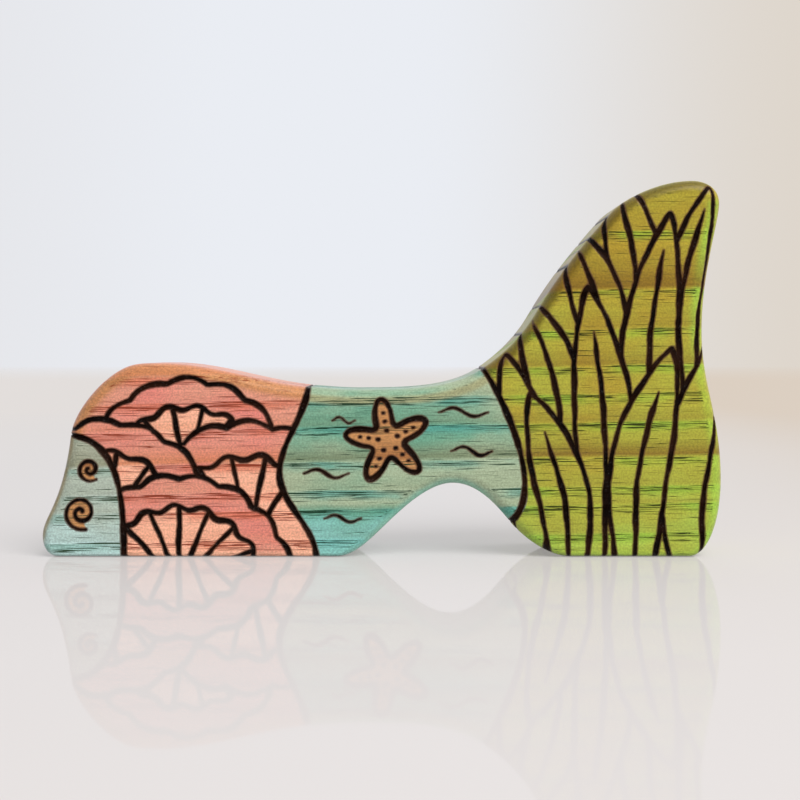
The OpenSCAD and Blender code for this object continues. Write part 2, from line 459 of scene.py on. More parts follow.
# %% [markdown]
# A nearer motif hides the strokes of those behind it, as on any drawing. The glue lines get a stroke of
# their own that runs on past both ends, so that the burned line wraps over the edges
# and nicks the silhouette, as the real one does.

# %% layers of strokes
# A stroke is hidden from this many millimetres inside a nearer motif.
HIDDEN_FROM = 0.1


def layered(motifs):
    """Every stroke of the motifs, without the stretches that nearer motifs cover."""
    strokes = []
    for i, motif in enumerate(motifs):
        for line in motif.lines:
            shown = np.ones(len(line), bool)
            for cover in motifs[:i]:
                shown &= cover.inside(line[:, :2]) < HIDDEN_FROM
            cuts = np.flatnonzero(np.diff(shown.astype(int))) + 1
            parts = zip(np.split(line, cuts), np.split(shown, cuts))
            strokes += [part for part, on in parts if on[0] and len(part) > 1]
    return strokes


def seam_stroke(knots, overrun=6.0):
    """The burned line over a glue line, carried on straight past both ends."""
    p = run(knots, 60)[:, :2]
    more = np.linspace(0.5, overrun, 8)[:, None]
    before = p[0] + (p[0] - p[1]) / np.linalg.norm(p[0] - p[1]) * more[::-1]
    after = p[-1] + (p[-1] - p[-2]) / np.linalg.norm(p[-1] - p[-2]) * more
    return by_hand(even(np.vstack([before, p, after])), 1.1 * LINE_HALF, 0.0)


seams = [seam_stroke(k) for k in (end_glue, mound_glue, bridge_glue)]
print("strokes:", [len(layered(m)) for m in (whelks, shells, water, grass)], "and", len(seams), "seams")

# %% [markdown]
# A search tree would find the nearest stroke fast. Here each stroke only looks at the points in a box around
# it, which needs no more than whole arrays, taken in groups that keep them small.

# %% the distance to the strokes
MOST_AT_ONCE = 4_000_000


def line_field(q, strokes, reach=3.0, far=9.0):
    """How far each point lies outside the nearest stroke, below zero inside it, and `far` out of reach.

    The distance to a stroke is the least over its short straight spans, each thinned or widened evenly.
    """
    best = np.full(len(q), far, np.float32)
    q = q.astype(np.float32)
    for stroke in strokes:
        s = stroke.astype(np.float32)
        margin = reach + s[:, 2].max()
        near = np.flatnonzero(((q > s[:, :2].min(0) - margin) & (q < s[:, :2].max(0) + margin)).all(1))
        a, b = s[:-1], s[1:]
        d = b[:, :2] - a[:, :2]
        for group in np.array_split(near, 1 + len(near) * len(a) // MOST_AT_ONCE):
            rel = q[group, None, :] - a[None, :, :2]
            t = np.clip((rel * d).sum(2) / ((d**2).sum(1) + 1e-9), 0, 1)
            gap = np.hypot(rel[..., 0] - t * d[:, 0], rel[..., 1] - t * d[:, 1])
            gap -= a[:, 2] + t * (b[:, 2] - a[:, 2])
            best[group] = np.minimum(best[group], gap.min(1, initial=far))
    return best


print("mid bridge to the nearest seam in mm:", line_field(np.array([[0.0, 25.0]]), seams, 40.0, 99.0))

# %% [markdown]
# ## The skin of a piece
#
# A sculpted or subdivided mesh could give the rounded edges, but its points wouldn't follow the drawing.
# The skin is worked out as a grid. The outline is moved in layer by layer along the quarter rounds of
# the front and back edges, and the two flat faces are blended from their four sides. Each point
# of a round is unrolled on to the drawing's plane, so a stroke that reaches an edge wraps over it and runs
# straight across the side to the other face. Inside a stroke the surface sinks to form the groove.

# %% the flat face and the mesh
# Corners sharper than this many degrees, where a face meets a glue line, keep their edge in the shading.
SHARP_FROM = 75


def blended(crown, right_side, foot, left_side):
    """A grid between four sides: (1-v) crown + v foot + (1-u) left + u right - the corners' own blend."""
    u = np.linspace(0, 1, len(crown))[:, None, None]
    v = np.linspace(0, 1, len(right_side))[None, :, None]
    corners = (1 - u) * ((1 - v) * crown[0] + v * foot[-1]) + u * ((1 - v) * crown[-1] + v * foot[0])
    up_and_down = (1 - v) * crown[:, None] + v * foot[::-1, None]
    return up_and_down + (1 - u) * left_side[None, ::-1] + u * right_side[None] - corners


def set_in(side):
    """A side of the flat face: the outline moved in by the edge radius."""
    return side[:, :2] - side[:, 2:4] * (side[:, 4] * side[:, 5] * EDGE_RADIUS)[:, None]


def mesh_object(name, points, quads, attributes):
    """A smooth mesh at the origin from points in mm, with one number per point under each attribute name."""
    mesh = bpy.data.meshes.new(name)
    mesh.vertices.add(len(points))
    mesh.vertices.foreach_set("co", (points * MM).ravel())
    mesh.loops.add(quads.size)
    mesh.loops.foreach_set("vertex_index", quads.ravel().astype(np.int32))
    mesh.polygons.add(len(quads))
    mesh.polygons.foreach_set("loop_start", np.arange(0, quads.size, 4, dtype=np.int32))
    mesh.polygons.foreach_set("use_smooth", np.ones(len(quads), bool))
    mesh.update(calc_edges=True)
    for key, values in attributes.items():
        mesh.attributes.new(key, "FLOAT", "POINT").data.foreach_set("value", np.asarray(values, np.float32))
    mesh.set_sharp_from_angle(angle=math.radians(SHARP_FROM))
    piece = bpy.data.objects.new(name, mesh)
    bpy.context.collection.objects.link(piece)
    print(name, "has", len(quads), "quads")
    return piece


print("the flat faces start", EDGE_RADIUS, "mm inside the outline")

# %% [markdown]
# A closed skin needs every quad to share its corners with its neighbours. The points are numbered layer by
# layer round the outline, then the inner points of the front face and of the back face, so the corners of
# all quads follow from counting, and no doubles have to be merged afterwards.

# %% the quads of a closed skin


def skin_quads(n, m, layers):
    """Bands between neighbouring layers of 2 (n + m) points, then the front and the back grid of n by m."""
    count, inside = 2 * (n + m), (n - 1) * (m - 1)
    k, p = np.meshgrid(np.arange(layers - 1), np.arange(count), indexing="ij")
    q = (p + 1) % count
    bands = np.stack([k * count + q, (k + 1) * count + q, (k + 1) * count + p, k * count + p], -1)

    def numbers(rim, inner):
        index = np.empty((n + 1, m + 1), int)
        index[1:-1, 1:-1] = inner + np.arange(inside).reshape(n - 1, m - 1)
        index[:, 0] = rim + np.arange(n + 1)
        index[-1, :] = rim + n + np.arange(m + 1)
        index[::-1, -1] = rim + n + m + np.arange(n + 1)
        index[0, :0:-1] = rim + 2 * n + m + np.arange(m)
        return index

    a = numbers(0, layers * count)
    b = numbers((layers - 1) * count, layers * count + inside)
    front = np.stack([a[:-1, 1:], a[1:, 1:], a[1:, :-1], a[:-1, :-1]], -1)
    back = np.stack([b[1:, :-1], b[1:, 1:], b[:-1, 1:], b[:-1, :-1]], -1)
    return np.vstack([part.reshape(-1, 4) for part in (bands, front, back)])


print("a skin of 2 by 2 steps and 3 layers has", len(skin_quads(2, 2, 3)), "quads")

# %% [markdown]
# Sanding opens the grain of an edge, so a rounded edge takes the stain in another way than the flat face.
# The edges' colour is also painted light: on the tower, edges that face up and left, away from the window,
# get a painted shade, and edges that face down get a lighter tone that paints the light bounced up from the
# table.
# Painting that by hand would be tied to one shape. A number per point, worked out from the way that
# the edge faces and from the distance along its rounding, follows any outline.

# %% the colour of the edges: wear and painted light
# What facing left, away from the window, counts for beside facing up, and how fast the edges' wear and
# painted light set in.
LEFT_SHARE = 0.6
FACING_GAIN = 1.5
GROUPS = 12


def edge_wear_and_light(outline, inner, quarter, upper, lower):
    """A bell curve of the distance along the rounding, counted from where the flat face ends.

    It is above zero on edges that face up or left, away from the window, where it carries worn colour and,
    on the tower, a painted shade. It is below zero on those that face down or right, where it carries worn
    colour and painted bounce light from the table. The upper and the lower edges each give the middle and
    the width of their bell, in mm.
    """
    radius, follow = outline[:, 4] * EDGE_RADIUS, outline[:, 5]
    upward = np.clip(FACING_GAIN * (outline[:, 3] - LEFT_SHARE * outline[:, 2]), -1, 1)
    free = follow == 1
    border = (outline[:, :2] - outline[:, 2:4] * radius[:, None])[free]
    gap, facing = [], []
    for group in np.array_split(inner, GROUPS):
        away = np.linalg.norm(group[:, None] - border, axis=2)
        gap.append(away.min(1))
        facing.append(upward[free][away.argmin(1)])
    along = np.concatenate([(quarter[:, None] * radius).ravel(), -np.concatenate(gap)])
    facing = np.concatenate([np.tile(upward * follow, len(quarter)), *facing])
    middle, width = np.where(facing[:, None] > 0, upper, lower).T
    return facing * np.exp(-((along - middle) / width) ** 2)


print("a rounding is", round(EDGE_RADIUS * math.pi / 2, 2), "mm long")

# %% the drawing on a piece, and its grooves
# How deep a groove is, how wide each of its walls is, and the height under which it runs out.
GROOVE_DEPTH = 0.45
GROOVE_WALL = 0.55
GROOVE_CLEAR = 2.5


def drawn(on_paper, motifs, ground):
    """The distance to the strokes, the depth of the stain and the bare fill at points of the drawing."""
    field = line_field(on_paper, layered(motifs) + seams)
    tint, fill = ground(on_paper), np.zeros(len(on_paper))
    for motif in reversed(motifs):
        on = motif.inside(on_paper) > 0
        tint[on], fill[on] = motif.shade(on_paper[on]), motif.fill
    return field, tint, fill


def groove(field, height):
    """The depth of a groove: a smooth step, 3 s^2 - 2 s^3, of the share s of its wall that is passed.

    The share falls evenly to zero at the table, so that grooves run out above the base.
    """
    sunk = np.clip(-field / GROOVE_WALL, 0, 1) * np.clip(height / GROOVE_CLEAR, 0, 1)
    return GROOVE_DEPTH * sunk * sunk * (3 - 2 * sunk)


print("groove depths in mm:", groove(np.array([0.0, -0.25, -0.5]), np.full(3, THICKNESS)).round(2))

# %% layers from face to face
# The turn and the depth of each layer: round the front edge, across the flat side and round the back edge.
ROUND_STEPS = 10
SIDE_STEPS = 12
quarter = np.linspace(0, np.pi / 2, ROUND_STEPS + 1)
flat = np.linspace(EDGE_RADIUS, THICKNESS - EDGE_RADIUS, SIDE_STEPS + 1)[1:-1]
rise = EDGE_RADIUS * (1 - np.cos(quarter))
turn = np.concatenate([quarter, np.full(len(flat), np.pi / 2), np.pi - quarter[::-1]])[:, None]
deep = np.concatenate([rise, flat, THICKNESS - rise[::-1]])[:, None]
print(len(deep), "layers from face to face")

# %% a closed board piece
THINNER_ON_SIDES = 0.3


def board_piece(name, crown, right_side, foot, left_side, motifs, ground, wear_and_light):
    """One stained piece of the board, closed all round, with the drawing carved into it.

    A layer at angle a of the quarter round lies R (1 - sin a) inside the outline and E (1 - cos a) behind
    the face, less the groove's depth along the round's own normal. E is the edge radius, and R is the same
    or, along the base, lower. On a glue line a layer stays on the line.
    """
    outline = np.vstack([crown, right_side[1:], foot[1:], left_side[1:-1]])
    xz, normal, follow = outline[:, :2], outline[:, 2:4], outline[:, 5]
    radius = outline[:, 4] * EDGE_RADIUS
    count = len(outline)
    inner = blended(*map(set_in, (crown, right_side, foot, left_side)))[1:-1, 1:-1].reshape(-1, 2)

    unroll = (follow * radius)[None, :, None] * (quarter[:, None, None] - 1)
    on_paper = np.vstack([(xz + normal * unroll).reshape(-1, 2), inner])
    onward = np.concatenate([np.repeat(quarter / quarter[-1], count), np.zeros(len(inner))])
    field, tint, fill = drawn(on_paper, motifs, ground)
    field = field + THINNER_ON_SIDES * onward**2
    # The edges' worn colour, with a painted shade and painted bounce light by which way they face.
    edge = edge_wear_and_light(outline, inner, quarter, *wear_and_light)

    def spread(values):
        rim = values[:-len(inner)].reshape(len(quarter), count)
        return np.vstack([rim, np.repeat(rim[-1:], len(flat), 0), rim[::-1]]), values[-len(inner):]

    def everywhere(values):
        rim, face = spread(values)
        return np.concatenate([rim.ravel(), face, face])

    rim_groove, face_groove = spread(groove(field, on_paper[:, 1]))
    out = -follow * (radius * (1 - np.sin(turn)) + rim_groove * np.sin(turn))
    on_glue = np.clip(deep, rim_groove, THICKNESS - rim_groove)
    across = follow * (deep + np.cos(turn) * rim_groove) + (1 - follow) * on_glue - THICKNESS / 2
    rim = np.stack([xz[:, 0] + normal[:, 0] * out, across, xz[:, 1] + normal[:, 1] * out], axis=2)
    front = np.column_stack([inner[:, 0], face_groove - THICKNESS / 2, inner[:, 1]])
    points = np.vstack([rim.reshape(-1, 3), front, front * (1, -1, 1)])
    quads = skin_quads(len(crown) - 1, len(right_side) - 1, len(deep))
    numbers = {"line": field, "tint": tint, "fill": fill, "edge": edge}
    return mesh_object(name, points, quads, {key: everywhere(values) for key, values in numbers.items()})


print("a stroke loses", THINNER_ON_SIDES, "mm of its half width on the block's sides")

# %% [markdown]
# ## The four pieces
#
# Each piece lies between glue lines and free edges. Its four sides run clockwise, crown first. Opposite
# sides have the same number of steps, and a step is a quarter to half a millimetre, fine enough for a burned
# line. The stain was brushed on in level zones, so the ground of a piece is a curve over the height.

# %% stain of the grounds, and wear and painted light of the edges
# The low end is clear aqua at the foot and greyish at the top. The mound is even between the shells.
low_tide = by_height((0, 1.8), (4, 1.7), (9, 1.35), (16, 1.05), (28, 0.0))
reef = evenly(0.9)
bridge_stain = by_height(
    (0, 1.9), (5, 1.8), (10, 1.5), (13.5, 0.1), (20, 0.2),
    (26, 0.6), (32, 0.95), (36, 0.8), (39.5, 0.55), (42, 0.45))


def sea(q):
    """The bridge's stain: clear at the base, pale half way up, deep under the saddle, paler to the right."""
    return bridge_stain(q) - 0.3 * np.clip((q[:, 0] - 8) / 16, 0, 1)


# For the upper and then the lower edges of a piece: the middle and the width, in mm along the rounding, of
# the band that takes another colour, which is worn colour with painted shade above and painted bounce light
# below.
AQUA_EDGE_WEAR_AND_LIGHT = ((3.2, 1.6), (3.4, 1.2))
SALMON_EDGE_WEAR_AND_LIGHT = ((1.6, 2.4), (1.6, 2.4))
TEAL_EDGE_WEAR_AND_LIGHT = ((0.3, 1.3), (3.4, 2.0))
GREEN_EDGE_WEAR_AND_LIGHT = ((2.2, 2.0), (1.4, 2.3))
print("the bridge's stain at mid height:", sea(np.array([[0.0, SADDLE_HEIGHT / 2]])))

# %% aqua end
# The glue line makes up two of the four sides.
END_STEPS = 90
end_first, end_last = run([end_top, shoulder], 1)[0], run([end_base, left_base], 1)[0]
end_line = glue_line(end_glue, 2 * END_STEPS, end_first, end_last)
end_piece = board_piece(
    "aqua_end_skin", end_line[:END_STEPS + 1], end_line[END_STEPS:], run([end_base, left_base], END_STEPS),
    run([left_base, left_side, end_top], END_STEPS), whelks, low_tide, AQUA_EDGE_WEAR_AND_LIGHT)

# %% salmon mound
# The left side runs up the glue line first and then along the free edge to the shoulder.
ACROSS_STEPS = 180
UP_STEPS = 170
GLUE_STEPS = 100
mound_first, mound_last = run([mound_top, saddle], 1)[0], run([mound_base, end_base], 1)[0]
mound_line = glue_line(mound_glue, UP_STEPS, mound_first, mound_last)
end_up = glue_line(end_glue, GLUE_STEPS, end_first, end_last)[::-1]
mound_left = np.vstack([end_up, run([end_top, shoulder], UP_STEPS - GLUE_STEPS)[1:]])
mound_piece = board_piece(
    "salmon_mound_skin", run([shoulder, crest, mound_top], ACROSS_STEPS), mound_line,
    run([mound_base, end_base], ACROSS_STEPS), mound_left, shells, reef, SALMON_EDGE_WEAR_AND_LIGHT)

# %% teal bridge
bridge_first, bridge_last = run([slope_foot, slope], 1)[0], run([bridge_base, arch_top], 1)[0]
bridge_piece = board_piece(
    "teal_bridge_skin", run([mound_top, saddle, slope_foot], ACROSS_STEPS),
    glue_line(bridge_glue, UP_STEPS, bridge_first, bridge_last),
    run([bridge_base, arch_top, arch_flank, arch_left, mound_base], ACROSS_STEPS),
    mound_line[::-1], water, sea, TEAL_EDGE_WEAR_AND_LIGHT)

# %% green tower
TOWER_UP_STEPS = 200
tower_piece = board_piece(
    "green_tower_skin", run([slope_foot, slope, slope_top, tip, tip_side], ACROSS_STEPS),
    run([tip_side, waist, belly, right_base], TOWER_UP_STEPS),
    run([right_base, arch_right, bridge_base], ACROSS_STEPS),
    glue_line(bridge_glue, TOWER_UP_STEPS, bridge_first, bridge_last)[::-1], grass, meadow, GREEN_EDGE_WEAR_AND_LIGHT)

# %% [markdown]
# ## Stained, varnished, ring-porous wood
#
# The board looks like ash: each year's growth starts with a row of large pores and ends in dense brown wood.
# It is sawn so that the rings lie nearly level. Going down the face, the wood turns slowly browner, stops
# at a ring line, and starts again with a band of dark pore dashes, each 3 to 12 mm long and about a fifth of
# a millimetre thick. A wood texture with even rings would be quicker, but a real board's rings aren't even,
# so a colour ramp over the height holds ten ring lines, and noise makes them sway.

# %% colours and nodes


def linear(hex_colour):
    """An sRGB hex colour as linear red, green, blue and alpha."""
    c = np.array([int(hex_colour[i:i + 2], 16) for i in (1, 3, 5)]) / 255
    return (*np.where(c <= 0.04045, c / 12.92, ((c + 0.055) / 1.055) ** 2.4), 1.0)


def add(tree, kind, inputs=None, out=0, **settings):
    """Adds one shader node with its settings, sets or links its inputs, and returns one of its outputs."""
    node = tree.nodes.new("ShaderNode" + kind)
    for key, value in settings.items():
        setattr(node, key, value)
    for key, value in (inputs or {}).items():
        if isinstance(value, bpy.types.NodeSocket):
            tree.links.new(value, node.inputs[key])
        else:
            node.inputs[key].default_value = value
    return node.outputs[out]


# Settings that many nodes share: a mix of colours, a soft step, one vector's reach along another, a product
# of two values, and the same plus a third.
RGB = {"out": 2, "data_type": "RGBA"}
STEP = {"interpolation_type": "SMOOTHSTEP"}
DOT = {"out": "Value", "operation": "DOT_PRODUCT"}
TIMES = {"operation": "MULTIPLY"}
TIMES_PLUS = {"operation": "MULTIPLY_ADD"}
print("mid grey in linear light:", linear("#808080"))

# %% rings and noises
# Each ring line: its height in mm on the front of the tower, and how brown the wood above it is.
RING_LINES = (
    (6.2, 0.4), (13.3, 0.4), (17.7, 0.4), (24.8, 1.0), (33.3, 0.6),
    (40.0, 0.3), (46.8, 0.7), (55.8, 0.55), (65.6, 1.0), (80.0, 0.4),
)
RING_SPAN = 110.0
RING_TILT = (-0.022, 0.2, 1.0)
# The tilt and the sway move the rings by this much on the front of the tower.
RING_SHIFT = -2.7
# How many millimetres the noises lift a ring.
SWAY_RISE = 2.0
FIBRE_RISE = 0.8
# How late in the year the wood grew: at the ramp's two ends, and at distances in mm from a ring line.
# The last is how far above the line the late wood is at its brownest.
RAMP_ENDS = (0.3, 0.2)
EARLY_WOOD = ((-3.5, 0.25), (-0.3, 0.0))
BROWNEST_AT = 0.5
# Each noise: the size of its features in mm along the grain, through the board and up, and its detail.
# Real fibres, sanding specks and crumbs of char are too fine to show in the render, so these three are drawn
# as coarse as they need to show.
GRAINS = {
    "sway": ((83, 33, 33), 1.0),
    "blotch": ((20, 12.5, 9), 3.0),
    "fibre": ((22, 0.42, 0.42), 3.0),
    "pore": ((9.0, 0.21, 0.21), 2.0),
    "speckle": ((0.5, 0.5, 0.5), 1.0),
    "ragged": ((1.1, 1.1, 1.1), 2.0),
    "char": ((0.67, 0.67, 0.67), 3.0),
}
print("ring lines:", len(RING_LINES), "in", RING_SPAN, "mm")

# %% the grain


def wood_grain(put):
    """The noises of the grain by name, and how late in the year the wood at each point grew, 0 to 1."""
    mm = put("VectorMath", {0: put("TexCoord", out="Object"), "Scale": 1 / MM}, operation="SCALE")
    grains = {}
    for key, (size, detail) in GRAINS.items():
        at = put("VectorMath", {0: mm, 1: size}, operation="DIVIDE")
        grains[key] = put("TexNoise", {"Vector": at, "Scale": 1.0, "Detail": detail, "Roughness": 0.55})
    height = put("VectorMath", {0: mm, 1: RING_TILT}, **DOT)
    height = put("Math", {0: grains["sway"], 1: SWAY_RISE, 2: height}, **TIMES_PLUS)
    height = put("Math", {0: grains["fibre"], 1: FIBRE_RISE, 2: height}, **TIMES_PLUS)
    late = put("ValToRGB", {0: put("Math", {0: height, 1: RING_SPAN}, operation="DIVIDE")})
    ramp = late.node.color_ramp
    for end, value in zip(ramp.elements, RAMP_ENDS):
        end.color = (value, value, value, 1)
    for ring, brown in RING_LINES:
        for aside, value in (*EARLY_WOOD, (BROWNEST_AT, brown)):
            ramp.elements.new((ring + RING_SHIFT + aside) / RING_SPAN).color = (value, value, value, 1)
    return grains, late


print("noises:", list(GRAINS))

# %% [markdown]
# The stain is thin, so the grain shows through. It has a pale, a deep and a clear shade. Which one shows
# follows from the depth that the drawing gave each point, with soft blotches. The open wood at the start of
# a ring drank up more of it. The rounded edges take another shade, partly where sanding opened the grain and
# partly painted light: a painted shade on the tower's edges that face away from the window, and a painted
# lighter tone, for the table's bounce, on edges that face down. Bare wood stays a warm brown. A painted
# picture could hold all this, but nodes stay sharp at any distance.

# %% the stain
BARE_EARLY = "#c48c55"
BARE_LATE = "#9a6030"


def stained(put, grains, late, early, shades):
    """The colour of the stained wood without its pores."""
    pale, deep, clear, brown, soaked, top_edge_wear_and_shade, low_edge_wear_and_light = shades
    tint, fill, edge = (put("Attribute", out="Fac", attribute_name=k) for k in ("tint", "fill", "edge"))
    blotch = put("Math", {0: grains["blotch"], 1: 1.6, 2: -0.8}, **TIMES_PLUS)
    soak = put("Math", {0: tint, 1: blotch}, operation="ADD")
    deeper = put("MapRange", {0: soak, 1: 0.0, 2: 1.0}, **STEP)
    clearer = put("MapRange", {0: soak, 1: 1.0, 2: 2.0}, **STEP)
    colour = put("Mix", {0: deeper, 6: pale, 7: deep}, **RGB)
    colour = put("Mix", {0: clearer, 6: colour, 7: clear}, **RGB)
    thirsty = put("MapRange", {0: grains["blotch"], 1: 0.38, 2: 0.62, 3: 0.1, 4: 0.65}, **STEP)
    thirsty = put("Math", {0: early, 1: thirsty}, **TIMES)
    colour = put("Mix", {0: thirsty, 6: colour, 7: soaked}, **RGB)
    # The rounded edges: worn colour, with a painted shade on edges that face away from the window and a
    # painted lighter tone, for the table's bounce, on those that face down.
    for shade, start, stop in ((top_edge_wear_and_shade, 0.15, 0.95), (low_edge_wear_and_light, -0.15, -0.95)):
        worn_or_lit = put("MapRange", {0: edge, 1: start, 2: stop, 4: 0.8}, **STEP)
        colour = put("Mix", {0: worn_or_lit, 6: colour, 7: shade}, **RGB)
    browner = put("Math", {0: late, 1: 1.2}, operation="POWER")
    browner = put("Math", {0: browner, 1: 0.9}, **TIMES)
    colour = put("Mix", {0: browner, 6: colour, 7: brown}, **RGB)
    bare = put("Mix", {0: browner, 6: linear(BARE_EARLY), 7: linear(BARE_LATE)}, **RGB)
    colour = put("Mix", {0: fill, 6: colour, 7: bare}, **RGB)
    streak = put("MapRange", {0: grains["fibre"], 1: 0.3, 2: 0.7, 3: 0.92, 4: 1.06}, **STEP)
    speck = put("MapRange", {0: grains["speckle"], 1: 0.25, 2: 0.75, 3: 0.8, 4: 1.17}, **STEP)
    light = put("Math", {0: streak, 1: speck}, **TIMES)
    light = put("CombineColor", {0: light, 1: light, 2: light})
    return put("Mix", {0: 1.0, 6: colour, 7: light}, blend_type="MULTIPLY", **RGB)


print("bare wood in linear light:", np.round(linear(BARE_EARLY), 2))

# %% [markdown]
# Pores are cut open along the board, so they show as dashes on its faces and as dots, too small to see, on
# end grain. They hold the most stain. Modelled one by one there would be thousands, so they are the peaks
# of a noise that is stretched along the grain, and more peaks count as pores in early wood.

# %% the pores


def pore_dashes(put, grains, late, early):
    """Where the pores are, and how dark they look, which is not at all on end grain."""
    row = put("MapRange", {0: late, 1: 0.07, 2: 0.0})
    opened = put("Math", {0: early, 1: 0.13, 2: grains["pore"]}, **TIMES_PLUS)
    opened = put("Math", {0: row, 1: 0.025, 2: opened}, **TIMES_PLUS)
    opened = put("Math", {0: grains["speckle"], 1: 0.1, 2: opened}, **TIMES_PLUS)
    pores = put("MapRange", {0: opened, 1: 0.7, 2: 0.74}, **STEP)
    normal = put("NewGeometry", out="Normal")
    endways = put("VectorMath", {0: normal, 1: (1, 0, 0)}, **DOT)
    endways = put("Math", {0: endways}, operation="ABSOLUTE")
    shown = put("MapRange", {0: endways, 1: 0.08, 2: 0.35, 3: 0.95, 4: 0.0}, **STEP)
    return pores, put("Math", {0: pores, 1: shown}, **TIMES)


print("pore dashes in mm:", GRAINS["pore"][0])

# %% [markdown]
# A burned line is char: nearly black, matt and a little crusty, with a scorched brown rim. The varnish
# on the wood around it shines softly and dips into the pores. The groove of a line is in the mesh already.
# The bump only adds the crust, the fibres and the pores, which are finer than the mesh.

# %% burned lines and varnish
SCORCH = "#4f2711"
CHAR_BLACK = "#0c0503"
CHAR_BROWN = "#26130a"


def burned(put, grains, colour):
    """The colour with the burned lines, and where they are: about where the line attribute is below zero."""
    line = put("Attribute", out="Fac", attribute_name="line")
    rag = put("Math", {0: grains["ragged"], 1: 0.3, 2: line}, **TIMES_PLUS)
    scorch = put("MapRange", {0: rag, 1: 0.5, 2: 0.2, 4: 0.8}, **STEP)
    colour = put("Mix", {0: scorch, 6: colour, 7: linear(SCORCH)}, **RGB)
    burn = put("MapRange", {0: rag, 1: 0.22, 2: -0.05}, **STEP)
    toasted = put("MapRange", {0: grains["blotch"], 1: 0.38, 2: 0.66}, **STEP)
    char = put("Mix", {0: toasted, 6: linear(CHAR_BLACK), 7: linear(CHAR_BROWN)}, **RGB)
    return put("Mix", {0: burn, 6: colour, 7: char}, **RGB), burn


def varnished(put, grains, pores, burn):
    """The shader's inputs for a satin varnish that is thin in the pores and burned away on the lines."""
    gloss = put("MapRange", {0: pores, 1: 0.0, 2: 1.0, 3: 0.32, 4: 0.45}, **STEP)
    glint = put("MapRange", {0: grains["char"], 1: 0.55, 2: 0.8}, **STEP)
    matt = put("MapRange", {0: glint, 3: -0.44, 4: 0.0})
    varnish = put("MapRange", {0: pores, 3: 0.5, 4: 0.2})
    varnish = put("Math", {0: burn, 1: matt, 2: varnish}, **TIMES_PLUS)
    dip = put("Math", {0: pores, 1: -0.08}, **TIMES)
    relief = put("Math", {0: grains["fibre"], 1: 0.04, 2: dip}, **TIMES_PLUS)
    crust = put("Math", {0: burn, 1: grains["char"]}, **TIMES)
    relief = put("Math", {0: crust, 1: 0.45, 2: relief}, **TIMES_PLUS)
    bump = put("Bump", {"Strength": 0.7, "Distance": MM, "Height": relief})
    return {"Roughness": gloss, "Specular IOR Level": varnish, "Normal": bump}


print("char in linear light:", np.round(linear(CHAR_BLACK), 4))

# %% the finished wood
# Ash, sanded, stained, burned and varnished: the eye gets level bands of dark dashes under a soft sheen,
# and black lines that hardly shine.


def stained_wood(name, shades):
    """The material of one piece, from the shades of its stain."""
    material = bpy.data.materials.new(name)
    material.use_nodes = True
    tree = material.node_tree
    put = partial(add, tree)
    grains, late = wood_grain(put)
    early = put("MapRange", {0: late, 1: 0.22, 2: 0.06}, **STEP)
    *ground_shades, pore_shade = map(linear, shades)
    colour = stained(put, grains, late, early, ground_shades)
    pores, dark = pore_dashes(put, grains, late, early)
    colour = put("Mix", {0: dark, 6: colour, 7: pore_shade}, **RGB)
    colour, burn = burned(put, grains, colour)
    shader = tree.nodes["Principled BSDF"]
    for key, value in {"Base Color": colour, **varnished(put, grains, pores, burn)}.items():
        tree.links.new(value, shader.inputs[key])
    print(name, "has", len(tree.nodes), "nodes")
    return material


# %% four stains
# Shades of each stain: pale, deep, clear, late wood, early wood, edges that face up and down, and pores.
# The edge shades are worn colour and painted light: a painted shade on the tower's upper edges, and painted
# bounce light from the table on the lower edges.
STAINS = {
    "aqua_stain": ("#adb29d", "#b3c1b3", "#c0e1de", "#8b8c70", "#7fae9f", "#977d40", "#b5cfc6", "#2a4028"),
    "salmon_stain": ("#fdbd9e", "#e09a84", "#df8078", "#cf7f55", "#dd7450", "#b98247", "#f6c6a4", "#85351f"),
    "teal_stain": ("#aebd9c", "#67a68c", "#8bcfc8", "#6f7d5c", "#459d92", "#a9a376", "#90cfb9", "#123420"),
    "green_stain": ("#b1972c", "#afb13a", "#aed354", "#7c5c14", "#84b02e", "#50470a", "#9fc845", "#232a08"),
}
dressed = (
    (end_piece, "aqua_end", "aqua_stain"),
    (mound_piece, "salmon_mound", "salmon_stain"),
    (bridge_piece, "teal_bridge", "teal_stain"),
    (tower_piece, "green_tower", "green_stain"),
)
for piece, node, stain in dressed:
    piece.data.materials.append(stained_wood(stain + "ed_ash", STAINS[stain]))
    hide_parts(node)
    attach(piece, "root")
print("dressed:", [node for piece, node, stain in dressed])

# %% [markdown]
# ## Table, light and camera
#
# The block stands on a white lacquered table that is lost in the pale room a few metres behind it. A plain
# white plane would do for the light, but not for the mirror image. What camera, glossy and transmission
# rays see of the table and the room is set apart from the light that reaches the block, so that
# the background can be nearly white without more light on the wood.

# %% the table's top
TABLE_HALF = 4600.0
corners = TABLE_HALF * np.array([(-1, -1, 0), (1, -1, 0), (1, 1, 0), (-1, 1, 0)])
table = mesh_object("table", corners, np.array([[0, 1, 2, 3]]), {})
print("the table reaches", TABLE_HALF, "mm to each side")

# %% the table's lacquer


def looked_at(put):
    """1 for a ray that looks at things (camera, glossy or transmission), and 1 for a glossy ray alone."""
    rays = [put("LightPath", out=k) for k in ("Is Camera Ray", "Is Glossy Ray", "Is Transmission Ray")]
    either = put("Math", {0: rays[1], 1: rays[2]}, operation="MAXIMUM")
    return put("Math", {0: rays[0], 1: either}, operation="MAXIMUM"), rays[1]


